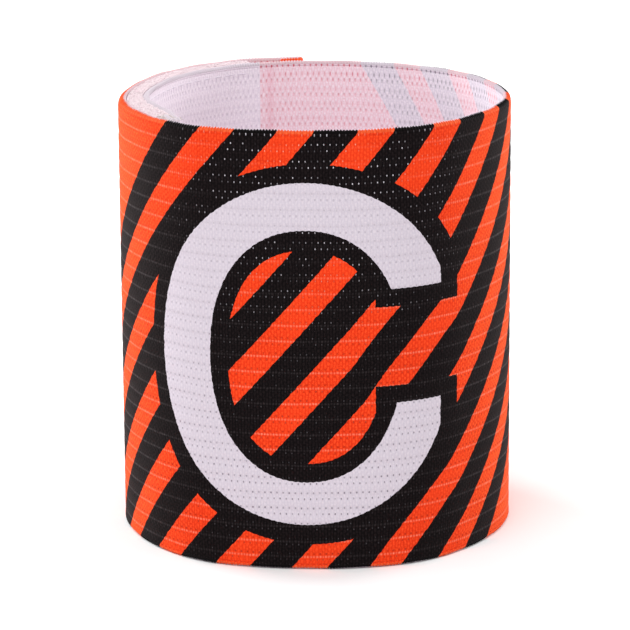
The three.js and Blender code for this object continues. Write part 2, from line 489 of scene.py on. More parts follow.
def print_group():
    """Where the ink is black and where the cloth is left white; the rest is orange."""
    tree, source = new_group("stripes_and_letter", ("Black", "White"))
    place = add_node(tree, SPLIT, (source,))
    s, z = place.outputs["X"], place.outputs["Y"]

    # The ink's edge follows the stitches: fine steps one wale wide and a slight wander
    wander = add_node(tree, NOISE, {"Vector": source, "Scale": 1.3, "Detail": 2.0},
                      noise_dimensions="2D")
    wander = add_node(tree, RANGE, (wander.outputs["Fac"], 0.25, 0.75, -0.07, 0.07))
    s = add_node(tree, MATH, (s, wander), operation="ADD")
    steps = add_node(tree, MATH, (s, WALE), operation="PINGPONG")
    z = add_node(tree, MATH, (steps, 0.18, z), operation="MULTIPLY_ADD")

    # Stripes: bowed a little where the cloth is stretched over the arm side, and towards the
    # back closer and steeper
    lift = add_node(tree, MATH, (z, PRINT_MIDDLE), operation="SUBTRACT")
    square = add_node(tree, MATH, (lift, lift), operation="MULTIPLY")
    bow = add_node(tree, MATH, (s, BOW_GROWTH, BOW), operation="MULTIPLY_ADD")
    bow = add_node(tree, MATH, (bow, square), operation="MULTIPLY")
    tilt = add_node(tree, MATH, (lift, TILT_GROWTH, TILT), operation="MULTIPLY_ADD")
    bow = add_node(tree, MATH, (tilt, s, bow), operation="MULTIPLY_ADD")
    printed = add_node(tree, RANGE, (s, *BOW_FADE, 1.0, 0.0))
    bow = add_node(tree, MATH, (bow, printed), operation="MULTIPLY")
    rest = add_node(tree, MATH, (printed, BOW_REST, -BOW_REST), operation="MULTIPLY_ADD")
    bow = add_node(tree, MATH, (bow, rest), operation="ADD")
    past = add_node(tree, MATH, (s, SQUEEZE_FROM), operation="SUBTRACT")
    past = add_node(tree, MATH, (past, 0.0), operation="MAXIMUM")
    stretched = add_node(tree, MATH, (past, SQUEEZE, s), operation="MULTIPLY_ADD")
    stretched = add_node(tree, MATH, (stretched, bow), operation="SUBTRACT")
    steep = add_node(tree, RANGE, (s, *STEEPER, STRIPE_LEAN, STRIPE_LEAN - STEEPER_BY),
                     interpolation_type="SMOOTHSTEP")
    level = add_node(tree, MATH, (z, PRINT_TOP), operation="SUBTRACT")
    slide = add_node(tree, MATH, (level, steep), operation="MULTIPLY")
    run = add_node(tree, MATH, (stretched, slide), operation="SUBTRACT")
    run = add_node(tree, MATH, (run, STRIPE_START + 3 * STRIPE_LEAN), operation="SUBTRACT")
    for centre, half, pull in STRIPE_PULLS:
        near = oval(tree, s, z, centre, half)
        near = add_node(tree, RANGE, (near, 0.0, 1.0, pull, 0.0),
                        interpolation_type="SMOOTHSTEP")
        run = add_node(tree, MATH, (run, near), operation="ADD")
    within = add_node(tree, MATH, (run, STRIPE_REPEAT, 0.0), operation="WRAP")
    dark = add_node(tree, MATH, (within, STRIPE_ORANGE), operation="GREATER_THAN")
    extent = between(tree, run, (STRIPE_FIRST - 1) * STRIPE_REPEAT + 1.0,
                     STRIPE_LAST * STRIPE_REPEAT)
    stripes = add_node(tree, MATH, (dark, extent), operation="MULTIPLY")

    # The letter: a ring of two ovals, open to the right between two level ends
    body = oval(tree, s, z, *BODY_OVAL)
    body = add_node(tree, MATH, (body, 1.0), operation="LESS_THAN")
    counter = oval(tree, s, z, *COUNTER_OVAL)
    counter = add_node(tree, MATH, (counter, 1.0), operation="GREATER_THAN")
    ring = add_node(tree, MATH, (body, counter), operation="MULTIPLY")
    short = add_node(tree, MATH, (s, LETTER_RIGHT), operation="LESS_THAN")
    ring = add_node(tree, MATH, (ring, short), operation="MULTIPLY")
    mouth = between(tree, z, *MOUTH)
    right = add_node(tree, MATH, (s, MOUTH_LEFT), operation="GREATER_THAN")
    mouth = add_node(tree, MATH, (mouth, right), operation="MULTIPLY")
    letter = add_node(tree, MATH, (ring, mouth), operation="SUBTRACT", use_clamp=True)

    # Its black outline, with the stripes running on inside the counter and the mouth
    edge = oval(tree, s, z, *OUTLINE_OVAL)
    edge = add_node(tree, MATH, (edge, 1.0), operation="LESS_THAN")
    short = add_node(tree, MATH, (s, OUTLINE_RIGHT), operation="LESS_THAN")
    edge = add_node(tree, MATH, (edge, short), operation="MULTIPLY")
    hole = oval(tree, s, z, *HOLE_OVAL)
    hole = add_node(tree, MATH, (hole, 1.0), operation="LESS_THAN")
    left = add_node(tree, MATH, (s, SLOT_LEFT), operation="LESS_THAN")
    hole = add_node(tree, MATH, (hole, left), operation="MULTIPLY")
    slot = between(tree, z, *SLOT)
    right = add_node(tree, MATH, (left, 0.5), operation="LESS_THAN")
    slot = add_node(tree, MATH, (slot, right), operation="MULTIPLY")
    open_part = add_node(tree, MATH, (hole, slot), operation="MAXIMUM")
    outline = add_node(tree, MATH, (edge, open_part), operation="SUBTRACT", use_clamp=True)

    bare = add_node(tree, MATH, (place.outputs["X"], PRINT_END), operation="GREATER_THAN")
    white = add_node(tree, MATH, (letter, bare), operation="MAXIMUM")
    black = add_node(tree, MATH, (stripes, outline), operation="MAXIMUM")
    black = add_node(tree, MATH, (black, white), operation="SUBTRACT", use_clamp=True)
    add_node(tree, "NodeGroupOutput", (black, white))
    return tree


# The knit, in mm: ribs across the height, with a pale groove between two rows of pinholes
RIB = 2.68
FIRST_GROOVE = 2.3
WALE = 0.52
PINHOLE_ROW = 0.52
PINHOLE_REPEAT = 1.04
STITCH = 0.9
SMOOTH_MARGIN = 1.8
RIB_BOW = 0.4                # how far the middle ribs stand above level, and over what height
RIB_BOW_HEIGHT = 70.0
# Half width, half height, and how far under the rims a row of its own lies
PINHOLE = 0.13, 0.21, 0.95
SLIT = 0.16, 0.44, 0.62


def knit_group():
    """Where the knit's ribs, grooves, pinholes, slits and fine upright strokes are."""
    tree, source = new_group("knit_structure",
                             ("Rib", "Groove", "Pinhole", "Slit", "Stroke", "Chance"))
    place = add_node(tree, SPLIT, (source,))
    s, z = place.outputs["X"], place.outputs["Y"]
    waver = add_node(tree, NOISE, {"Vector": source, "Scale": 0.12, "Detail": 1.0},
                     noise_dimensions="2D")
    waver = add_node(tree, RANGE, (waver.outputs["Fac"], 0.3, 0.7, -0.05, 0.05))
    bow = add_node(tree, MATH, (z, math.pi / RIB_BOW_HEIGHT), operation="MULTIPLY")
    bow = add_node(tree, MATH, (bow,), operation="SINE")
    bow = add_node(tree, MATH, (bow, RIB_BOW, z), operation="MULTIPLY_ADD")
    level = add_node(tree, MATH, (bow, waver), operation="ADD")
    level = add_node(tree, MATH, (level, FIRST_GROOVE), operation="SUBTRACT")
    rib = add_node(tree, MATH, (level, RIB), operation="DIVIDE")
    near = add_node(tree, MATH, (rib,), operation="ROUND")
    off = add_node(tree, MATH, (rib, near), operation="SUBTRACT")
    off = add_node(tree, MATH, (off, RIB), operation="MULTIPLY")
    reach = add_node(tree, MATH, (off,), operation="ABSOLUTE")
    swell = add_node(tree, RANGE, (reach, 0.0, 1.1, 0.0, 1.0), interpolation_type="SMOOTHSTEP")
    groove = add_node(tree, RANGE, (reach, 0.05, 0.26, 1.0, 0.0),
                      interpolation_type="SMOOTHSTEP")

    # Pinholes and, on the back, slits stand in two rows, half a repeat apart
    upper = add_node(tree, MATH, (off, 0.0), operation="GREATER_THAN")
    column = add_node(tree, MATH, (s, PINHOLE_REPEAT), operation="DIVIDE")
    column = add_node(tree, MATH, (upper, 0.5, column), operation="MULTIPLY_ADD")
    whole = add_node(tree, MATH, (column,), operation="ROUND")
    aside = add_node(tree, MATH, (column, whole), operation="SUBTRACT")
    aside = add_node(tree, MATH, (aside, PINHOLE_REPEAT), operation="MULTIPLY")
    rise = add_node(tree, MATH, (reach, PINHOLE_ROW), operation="SUBTRACT")
    middle = sizes().height / 2
    rim = add_node(tree, MATH, (z, middle), operation="SUBTRACT")
    rim = add_node(tree, MATH, (rim,), operation="ABSOLUTE")
    marks = []
    for across, tall, under_rim in (PINHOLE, SLIT):
        over = add_node(tree, MATH, (aside, across), operation="DIVIDE")
        own = add_node(tree, MATH, (rise, tall), operation="DIVIDE")
        last = add_node(tree, MATH, (rim, middle - under_rim), operation="SUBTRACT")
        last = add_node(tree, MATH, (last, tall * 0.7), operation="DIVIDE")
        last = add_node(tree, MATH, (last,), operation="ABSOLUTE")
        own = add_node(tree, MATH, (own,), operation="ABSOLUTE")
        up = add_node(tree, MATH, (own, last), operation="MINIMUM")
        spot = add_node(tree, VECTOR, (add_node(tree, JOIN, (over, up, 0.0)),),
                        operation="LENGTH")
        marks.append(add_node(tree, RANGE, (spot.outputs["Value"], 0.5, 1.2, 1.0, 0.0),
                              interpolation_type="SMOOTHSTEP"))
    double = add_node(tree, MATH, (near, 2.0, upper), operation="MULTIPLY_ADD")
    cell = add_node(tree, JOIN, (whole, double, 0.0))
    chance = add_node(tree, "ShaderNodeTexWhiteNoise", (cell,), noise_dimensions="2D")

    # Upright strokes: one wale wide, broken into stitches that are staggered from wale to wale
    drift = add_node(tree, NOISE, {"Vector": source, "Scale": 0.8, "Detail": 2.0},
                     noise_dimensions="2D")
    drift = add_node(tree, RANGE, (drift.outputs["Fac"], 0.3, 0.7, -0.09, 0.09))
    wale = add_node(tree, MATH, (s, drift), operation="ADD")
    wale = add_node(tree, MATH, (wale, WALE), operation="DIVIDE")
    wale_no = add_node(tree, MATH, (wale,), operation="ROUND")
    beside = add_node(tree, MATH, (wale, wale_no), operation="SUBTRACT")
    beside = add_node(tree, MATH, (beside,), operation="ABSOLUTE")
    rounded = add_node(tree, RANGE, (beside, 0.26, 0.5, 1.0, 0.1),
                       interpolation_type="SMOOTHSTEP")
    dash = add_node(tree, RANGE, (beside, 0.12, 0.45, 1.0, 0.1))
    step = add_node(tree, "ShaderNodeTexWhiteNoise",
                    (add_node(tree, JOIN, (wale_no, near, 0.0)),), noise_dimensions="2D")
    step = add_node(tree, RANGE, (step.outputs["Value"], 0.0, 1.0, 0.45, 1.0))
    dash = add_node(tree, MATH, (dash, step), operation="MULTIPLY")
    groove = add_node(tree, MATH, (groove, dash), operation="MULTIPLY")
    stitch = add_node(tree, MATH, (level, STITCH), operation="DIVIDE")
    stitch = add_node(tree, MATH, (wale_no, 0.5, stitch), operation="MULTIPLY_ADD")
    stitch = add_node(tree, MATH, (stitch, 0.5), operation="PINGPONG")
    stitch = add_node(tree, RANGE, (stitch, 0.02, 0.3, 0.45, 1.0))
    stroke = add_node(tree, MATH, (rounded, stitch), operation="MULTIPLY")
    fine = add_node(tree, NOISE, {"Vector": source, "Scale": 2.6, "Detail": 3.0},
                    noise_dimensions="2D")
    fine = add_node(tree, RANGE, (fine.outputs["Fac"], 0.3, 0.7, 0.35, 1.15))
    stroke = add_node(tree, MATH, (stroke, fine), operation="MULTIPLY", use_clamp=True)
    add_node(tree, "NodeGroupOutput", (swell, groove, *marks, stroke, chance))
    return tree


def new_material(name):
    """A material, its node tree and its surface shader."""
    material = bpy.data.materials.new(name)
    material.use_nodes = True
    return material, material.node_tree, material.node_tree.nodes["Principled BSDF"]


def strip_place(tree):
    """The place on the strip in mm, as a whole and as its two values."""
    place = add_node(tree, "ShaderNodeUVMap", uv_map="strip")
    place = add_node(tree, VECTOR, {"Vector": place, "Scale": 1 / MM}, operation="SCALE")
    return place, add_node(tree, SPLIT, (place,))


def knit_nodes(tree, place):
    """The print and the knit at a place on the strip."""
    made = []
    for name, build in (("stripes_and_letter", print_group), ("knit_structure", knit_group)):
        group = bpy.data.node_groups.get(name) or build()
        node = add_node(tree, "ShaderNodeGroup", node_tree=group)
        tree.links.new(place.outputs[0], node.inputs["Strip"])
        made.append(node)
    return made


def finish_shader(tree, shader, ground, height, relief, plain):
    """Links the colour and the relief, in mm, and sets the shader's plain values by name."""
    bump = add_node(tree, "ShaderNodeBump", {"Strength": 1.0, "Distance": relief * MM,
                                             "Height": height})
    tree.links.new(ground.outputs[2], shader.inputs["Base Color"])
    tree.links.new(bump.outputs[0], shader.inputs["Normal"])
    for name, value in plain.items():
        shader.inputs[name].default_value = value


def printed_knit():
    """Polyester and rubber elastic, warp knitted, printed on its face by heat transfer. The ink
    dyes the raised wales and misses the pinholes and grooves, which show pale. Pale dots in the
    pinholes high on the front are painted highlights, light seen through them; lower down the
    pinholes carry painted shade, and the darker tone between the wales is painted shade too."""
    material, tree, shader = new_material("printed_knit_elastic")
    place, strip = strip_place(tree)
    ink, knit = knit_nodes(tree, place)
    colour = colours()
    patch = add_node(tree, NOISE, {"Vector": place, "Scale": 0.11, "Detail": 2.0},
                     noise_dimensions="2D")
    patch = add_node(tree, RANGE, (patch.outputs["Fac"], 0.35, 0.65, 0.0, 1.0))
    grain = add_node(tree, NOISE, {"Vector": place, "Scale": 2.2, "Detail": 3.0},
                     noise_dimensions="2D")
    grain = add_node(tree, RANGE, (grain.outputs["Fac"], 0.3, 0.7, 0.0, 1.0))

    # High on the front the pinholes carry painted highlights, light seen through them painted
    # into the colour; elsewhere the grooves between the ribs show instead
    aside = add_node(tree, MATH, (strip.outputs["X"],), operation="ABSOLUTE")
    front = add_node(tree, RANGE, (aside, 14.0, 28.0, 1.0, 0.0))
    high = add_node(tree, RANGE, (strip.outputs["Y"], 38.0, 62.0, 0.1, 1.0))
    painted_glint = add_node(tree, MATH, (front, high), operation="MULTIPLY")
    # Groove lines show pale, painted fainter where the painted highlights lie
    pale_grooves = add_node(tree, RANGE, (painted_glint, 0.0, 0.9, 1.0, 0.2))
    pale_grooves = add_node(tree, MATH, (pale_grooves, knit.outputs["Groove"]), operation="MULTIPLY")
    grain = add_node(tree, RANGE, (grain, 0.0, 1.0, 0.45, 1.0))
    pale_grooves = add_node(tree, MATH, (pale_grooves, grain), operation="MULTIPLY")
    tip = add_node(tree, MATH, (knit.outputs["Pinhole"], 5.0), operation="POWER")
    painted_glint = add_node(tree, MATH, (painted_glint, tip), operation="MULTIPLY")
    sharp = add_node(tree, MATH, (knit.outputs["Chance"], 1.7), operation="POWER")
    painted_glint = add_node(tree, MATH, (painted_glint, sharp), operation="MULTIPLY")

    # Orange: dark red between the wales, painted shade, and in the pinholes, painted shade that
    # grows low down; a painted side light makes it warmer and paler towards the sides, fading
    # again behind
    deep = add_node(tree, MIX, (patch, linear("#D0280C"), linear("#DE3212")), data_type="RGBA")
    # Painted side light: warmer, paler orange from 22 mm out on either side, gone past 80 mm
    side = add_node(tree, RANGE, (aside, 22.0, 46.0, 0.0, 0.9))
    behind = add_node(tree, RANGE, (aside, 58.0, 80.0, 1.0, 0.0))
    side = add_node(tree, MATH, (side, behind), operation="MULTIPLY")
    bright = add_node(tree, MIX, (side, tuple(colour.orange), linear("#FA6C26")),
                      data_type="RGBA")
    orange = add_node(tree, MIX, (knit.outputs["Stroke"], deep, bright), data_type="RGBA")
    pale = add_node(tree, MATH, (pale_grooves, 0.72), operation="MULTIPLY")
    orange = add_node(tree, MIX, (pale, orange, linear("#FBA084")), data_type="RGBA")
    # Painted shade in the pinholes, strongest low down
    dim = add_node(tree, RANGE, (strip.outputs["Y"], 30.0, 62.0, 0.85, 0.1))
    dim = add_node(tree, MATH, (dim, knit.outputs["Pinhole"]), operation="MULTIPLY")
    odd = add_node(tree, RANGE, (knit.outputs["Chance"], 0.0, 1.0, 0.4, 1.0))
    dim = add_node(tree, MATH, (dim, odd), operation="MULTIPLY")
    orange = add_node(tree, MIX, (dim, orange, linear("#A01E08")), data_type="RGBA")
    # Painted highlight: pale orange dots in the pinholes high on the front
    share = add_node(tree, MATH, (painted_glint, 0.8), operation="MULTIPLY")
    orange = add_node(tree, MIX, (share, orange, linear("#FFB39A")), data_type="RGBA")

    # Black: grey wales with painted shade between them, and groove lines painted lighter towards
    # the sides as a painted side light
    black = add_node(tree, MIX, (knit.outputs["Stroke"], linear("#050304"),
                                 tuple(colour.black)), data_type="RGBA")
    pale = add_node(tree, RANGE, (aside, 22.0, 44.0, 0.15, 0.62))
    pale = add_node(tree, MATH, (pale_grooves, pale), operation="MULTIPLY")
    black = add_node(tree, MIX, (pale, black, linear("#756C6E")), data_type="RGBA")
    # Painted highlight: pale dots in the pinholes high on the front
    black = add_node(tree, MIX, (painted_glint, black, linear("#D2CCD4")), data_type="RGBA")

    # The letter: undyed wales with painted shade between them; its pinholes carry painted shade,
    # darkest low down
    white = add_node(tree, MIX, (knit.outputs["Stroke"], linear("#C6BCC8"),
                                 tuple(colour.white)), data_type="RGBA")
    painted_hole_shade = add_node(tree, RANGE, (strip.outputs["Y"], 12.0, 56.0, 0.85, 0.2))
    painted_hole_shade = add_node(tree, MATH, (painted_hole_shade, knit.outputs["Pinhole"]), operation="MULTIPLY")
    painted_hole_shade = add_node(tree, MATH, (painted_hole_shade, odd), operation="MULTIPLY")
    white = add_node(tree, MIX, (painted_hole_shade, white, linear("#5E5662")), data_type="RGBA")

    ground = add_node(tree, MIX, (ink.outputs["Black"], orange, black), data_type="RGBA")
    ground = add_node(tree, MIX, (ink.outputs["White"], ground, white), data_type="RGBA")
    height = add_node(tree, MATH, (knit.outputs["Stroke"], 0.35, knit.outputs["Rib"]),
                      operation="MULTIPLY_ADD")
    height = add_node(tree, MATH, (knit.outputs["Pinhole"], -0.6, height),
                      operation="MULTIPLY_ADD")
    finish_shader(tree, shader, ground, height, 0.11, {
        "Roughness": 0.85, "Sheen Weight": 0.042, "Sheen Roughness": 0.35,
        "Sheen Tint": (1.0, 0.66, 0.64, 1.0), "Specular IOR Level": 0.06})
    return material


def knit_back():
    """The undyed back of the elastic. The print shows through it as pale pink and grey, and its
    slits show the ink itself, most of all in the first rows under the rim."""
    material, tree, shader = new_material("undyed_knit_back")
    place, strip = strip_place(tree)
    ink, knit = knit_nodes(tree, place)
    colour = colours()
    plain, pink, grey = (
        add_node(tree, MIX, (knit.outputs["Stroke"], shade, light), data_type="RGBA")
        for shade, light in ((linear("#EFE5F0"), tuple(colour.back)),
                             (linear("#F6D0DA"), linear("#FFEDF4")),
                             (linear("#DFD7E3"), linear("#F6EEF6"))))
    through = add_node(tree, MIX, (ink.outputs["Black"], pink, grey), data_type="RGBA")
    through = add_node(tree, MIX, (ink.outputs["White"], through, plain), data_type="RGBA")
    # A narrow, pinker line on the back just before the print's end
    fold = add_node(tree, MATH, (strip.outputs["X"], PINK_LINE), operation="SUBTRACT")
    fold = add_node(tree, MATH, (fold,), operation="ABSOLUTE")
    fold = add_node(tree, RANGE, (fold, 0.1, 1.1, 0.3, 0.0), interpolation_type="SMOOTHSTEP")
    through = add_node(tree, MIX, (fold, through, linear("#EFB0BE")), data_type="RGBA")
    hue = add_node(tree, MIX, (ink.outputs["Black"], linear("#D9485C"), linear("#625C6A")),
                   data_type="RGBA")
    hue = add_node(tree, MIX, (ink.outputs["White"], hue, linear("#C9BCCE")), data_type="RGBA")
    rim = add_node(tree, RANGE, (strip.outputs["Y"], 71.0, 74.3, 0.45, 1.0))
    strength = add_node(tree, MATH, (knit.outputs["Chance"], 0.45, 0.55),
                        operation="MULTIPLY_ADD")
    strength = add_node(tree, MATH, (strength, rim), operation="MULTIPLY")
    strength = add_node(tree, MATH, (strength, knit.outputs["Slit"]), operation="MULTIPLY")

    # Behind the loop tape a smooth margin runs along both rims, outside the seams
    taped = add_node(tree, MATH, (strip.outputs["X"], PRINT_END), operation="GREATER_THAN")
    open_knit = between(tree, strip.outputs["Y"], SMOOTH_MARGIN, sizes().height - SMOOTH_MARGIN)
    margin = add_node(tree, MATH, (taped, open_knit), operation="SUBTRACT", use_clamp=True)
    bare = add_node(tree, MATH, (1.0, margin), operation="SUBTRACT")
    strength = add_node(tree, MATH, (strength, bare), operation="MULTIPLY")
    through = add_node(tree, MIX, (strength, through, hue), data_type="RGBA")
    slit = add_node(tree, MATH, (knit.outputs["Slit"], bare), operation="MULTIPLY")
    height = add_node(tree, MATH, (slit, -1.2, knit.outputs["Stroke"]),
                      operation="MULTIPLY_ADD")
    finish_shader(tree, shader, through, height, 0.05, {
        "Roughness": 0.88, "Sheen Weight": 0.06, "Specular IOR Level": 0.1})
    return material


def knit_rim():
    """The selvedge: undyed yarn turning over the rim, inked only towards the printed side, where
    the ink stops in teeth one wale wide; black ink soaks further over than orange."""
    material, tree, shader = new_material("knit_selvedge")
    place, strip = strip_place(tree)
    ink, knit = knit_nodes(tree, place)
    share = add_node(tree, "ShaderNodeAttribute", attribute_name="front_share")
    teeth = add_node(tree, MATH, (strip.outputs["X"], WALE), operation="DIVIDE")
    teeth = add_node(tree, MATH, (teeth, 0.5), operation="PINGPONG")
    reach = add_node(tree, MATH, (teeth, 0.3, share.outputs["Fac"]), operation="MULTIPLY_ADD")
    ragged = add_node(tree, NOISE, {"Vector": place, "Scale": 1.7, "Detail": 2.0},
                      noise_dimensions="2D")
    ragged = add_node(tree, RANGE, (ragged.outputs["Fac"], 0.3, 0.7, -0.08, 0.08))
    reach = add_node(tree, MATH, (reach, ragged), operation="ADD")
    reach = add_node(tree, MATH, (ink.outputs["Black"], 0.06, reach), operation="MULTIPLY_ADD")
    inked = add_node(tree, RANGE, (reach, 0.6, 0.75, 0.0, 1.0))
    # Painted shade: the undyed rim yarn is painted darker between its loops
    yarn = add_node(tree, RANGE, (teeth, 0.05, 0.4, 0.0, 1.0))
    white = add_node(tree, MIX, (yarn, linear("#C3B8C1"), linear("#D5CAD2")), data_type="RGBA")
    soaked = add_node(tree, MIX, (ink.outputs["Black"], linear("#E2AFB3"), linear("#C8C0CA")),
                      data_type="RGBA")
    soaked = add_node(tree, MIX, (ink.outputs["White"], soaked, white), data_type="RGBA")
    white = add_node(tree, MIX, (0.45, white, soaked), data_type="RGBA")
    # Painted shade: the orange over the rim is painted darker between the wales
    light = add_node(tree, MIX, (knit.outputs["Stroke"], linear("#D6441C"), linear("#F2663A")),
                     data_type="RGBA")
    dye = add_node(tree, MIX, (ink.outputs["Black"], light, linear("#080506")), data_type="RGBA")
    dye = add_node(tree, MIX, (ink.outputs["White"], dye, white), data_type="RGBA")
    ground = add_node(tree, MIX, (inked, white, dye), data_type="RGBA")
    finish_shader(tree, shader, ground, yarn, 0.06, {
        "Roughness": 0.85, "Sheen Weight": 0.03, "Specular IOR Level": 0.06})
    return material


def yarn_material(name, shade, light, roughness, sheen):
    """Fine yarn or thread: its colour wanders along it as the light catches its fibres."""
    material, tree, shader = new_material(name)
    where = add_node(tree, "ShaderNodeTexCoord")
    fibres = add_node(tree, NOISE, {"Vector": where.outputs["Object"], "Scale": 1600.0,
                                    "Detail": 3.0, "Roughness": 0.7})
    tone = add_node(tree, RANGE, (fibres.outputs["Fac"], 0.35, 0.65, 0.0, 1.0))
    ground = add_node(tree, MIX, (tone, linear(shade), tuple(light)), data_type="RGBA")
    finish_shader(tree, shader, ground, fibres.outputs["Fac"], 0.08, {
        "Roughness": roughness, "Sheen Weight": sheen, "Specular IOR Level": 0.2})
    return material


def woven_tape(name, shade, light):
    """Nylon tape, plain woven: a fine grid of threads, 0.3 mm apart, with a slight gloss."""
    material, tree, shader = new_material(name)
    _, strip = strip_place(tree)
    along = add_node(tree, MATH, (strip.outputs["X"], 0.3), operation="PINGPONG")
    up = add_node(tree, MATH, (strip.outputs["Y"], 0.3), operation="PINGPONG")
    weave = add_node(tree, MATH, (along, up), operation="ADD")
    tone = add_node(tree, RANGE, (weave, 0.1, 0.5, 0.0, 1.0))
    ground = add_node(tree, MIX, (tone, linear(shade), tuple(light)), data_type="RGBA")
    finish_shader(tree, shader, ground, tone, 0.08, {
        "Roughness": 0.6, "Sheen Weight": 0.05, "Specular IOR Level": 0.3})
    return material


# ---------------------------------------------------------------- pieces

TAPE_ROUND = 0.12
PILE_ROUND = 0.35
CURLS_ABOVE, CURLS_BELOW = 4300, 800
YARNS_ABOVE, YARNS_BELOW = 260, 120
# Half thickness of each kind of thread
CURL, HOOK, SEAM_THREAD, HEM_THREAD, FRAYED_YARN = 0.07, 0.08, 0.11, 0.1, 0.055
HOOKS_ALONG, HOOKS_UP = 2.6, 1.5     # degrees, mm
SEAM_STITCH, SEAM_PITCH, ZIGZAG_PITCH = 2.5, 2.8, 1.0


def rib_relief(station, row):
    """The grooves between ribs, sunk into both faces, hardly at all into the back."""
    size = sizes()
    z, share = row[:2]
    level = (z + RIB_BOW * math.sin(z * math.pi / RIB_BOW_HEIGHT) - FIRST_GROOVE) / RIB
    off = abs(level - round(level)) * RIB
    groove = max(0.0, 1.0 - off / 0.9) ** 2
    wave = 0.75 + 0.25 * math.sin(station.length * 0.31 + 1.7 * round(level))
    edge = min(max(min(z, size.height - z) - 2 * size.rim_round, 0.0), 1.0)
    return -groove * size.rib_depth * wave * (0.25 if share < 0.5 else 1.0) * edge


def tooth_relief(station, row):
    """Yarn loops over the rim, one wale apart, no two quite alike; hardly any on the back."""
    _, share, kind, _, upward = row
    if not 0 <= share <= 1 or kind == 3:
        return 0.0
    wale = station.length / WALE
    uneven = 0.8 + 0.2 * math.sin(12.9 * math.floor(wale))
    loop = uneven * abs(math.sin(math.pi * wale))
    return 0.02 + sizes().tooth * abs(upward) * (0.08 + 0.88 * loop)


def selvedge_rows(upper):
    """Section of the yarn that binds a rim, closed inside the wall by two rows of kind 3."""
    size = sizes()
    high, lift = size.height - size.tooth, size.rim_round
    rows = [(high - 0.75, 0.4, 3, 0.0, 0.0), (high - 0.62, 0.0, 2, -1.0, 0.0)]
    for i in range(9):
        angle = math.pi * i / 8
        kind = 2 if i == 0 else 0 if i == 8 else 1
        lean = -math.cos(angle) * (1.0 if kind != 1 else 0.25 if i < 4 else 0.6)
        rows.append((high - lift + lift * math.sin(angle), (1 - math.cos(angle)) / 2, kind,
                     lean, math.sin(angle)))
    rows += [(high - 0.62, 1.0, 0, 1.0, 0.0), (high - 0.75, 0.6, 3, 0.0, 0.0)]
    rows.append(rows[0])
    if upper:
        return rows
    return [(size.height - z, share, kind, out, -up) for z, share, kind, out, up in rows[::-1]]


class ARMBAND_OT_band(bpy.types.Operator):
    """Winds the printed elastic strip, with its ribs, rims and folded hems"""
    bl_idname = "armband.band"
    bl_label = "Knitted band"

    def execute(self, context):
        size = sizes()
        rows = section_rows(size.tooth, size.height - size.tooth, size.rim_round, 112, 8)
        piece = wound_mesh("knitted_band", band_stations(1.45), rows, rib_relief)
        surfaces = printed_knit(), knit_rim(), knit_back()
        attach(piece, surfaces, "band")
        strip = (INNER_END - OUTER_END) * math.radians(1) * size.radius
        strip += size.outer_hem + size.inner_hem
        for upper, name in ((True, "upper_selvedge"), (False, "lower_selvedge")):
            binding = wound_mesh(name, band_stations(0.22, 17, 24), selvedge_rows(upper),
                                 tooth_relief)
            attach(binding, surfaces)
        size.height * MM
        return {"FINISHED"}


def sewn_tape(first, last, radius):
    """Works out the size a tape sewn flat on the band had before it was bent, and keeps none of
    it.
    """
    size = sizes()
    length = math.radians(last - first) * radius((first + last) / 2)
    (size.height - 2 * size.tape_inset) * MM
    length * MM


def pile_near(turn):
    """Radius where the loop tape's ground meets its pile."""
    return printed_face(turn) + sizes().seat + sizes().tape_ground


def pile_far(turn):
    """Radius of the pile's outer side, pressed by the hooks or swollen on to the outer wrap."""
    size = sizes()
    across = turn - FULL_TURN
    hook_far = back_face(across) - size.seat
    swell = share_at(PILE_SWELL, across - tape_turns()[0][1])
    return mix(hook_far - size.hook_thickness, hook_far + size.seat, swell) - size.seat


class ARMBAND_OT_loop_tape(bpy.types.Operator):
    """Makes the loop tape on the inner wrap: its woven ground, its pile and the pile's curls"""
    bl_idname = "armband.loop_tape"
    bl_label = "Loop tape"

    def execute(self, context):
        size = sizes()
        first, last = tape_turns()[1]
        low, high = size.tape_inset, size.height - size.tape_inset
        ground = wound_mesh(
            "loop_tape_ground",
            tape_stations(first, last, lambda turn: printed_face(turn) + size.seat, pile_near),
            section_rows(low, high, TAPE_ROUND, 60, 4))
        woven = woven_tape("woven_nylon_tape", "#E8E2EE", colours().tape)
        attach(ground, (woven,) * 3, "loop_tape")

        def tufts(station, row):
            s, z = station.length, row[0]
            if row[1] < 0.3:
                return 0.0
            wave = (math.sin(2.9 * s) * math.sin(3.3 * z + 1.0) + math.sin(5.3 * s + 1.9 * z)
                    + math.sin(4.1 * z - 2.3 * s + 2.0)) / 3
            return -0.12 * (0.6 - 0.4 * wave)

        pile = wound_mesh("loop_tape_pile",
                          tape_stations(first, last, pile_near, pile_far, 0.8),
                          section_rows(low, high, PILE_ROUND, 90, 6), tufts)
        # Nylon loops brushed open: matt and soft, with a pale bloom where the light grazes them
        brushed = yarn_material("brushed_nylon_pile", "#EAD5DB", colours().pile, 0.95, 0.3)
        attach(pile, (brushed,) * 3)

        rng = random.Random(29)
        paths = []
        for count, base, up in ((CURLS_ABOVE, high, 1.0), (CURLS_BELOW, low, -1.0)):
            for _ in range(count):
                turn = rng.uniform(first + 0.5, last + 1.8)
                far = back_face(turn - FULL_TURN) - 0.12
                near = printed_face(turn) + 0.1
                paths.append(curl(rng, turn, rng.uniform(near, far), base, up, near, far,
                                  size.tape_inset - 0.05))
        curls = tubes("loop_tape_curls", paths, CURL)
        attach(curls, (brushed,))
        sewn_tape(first, last, pile_near)
        return {"FINISHED"}


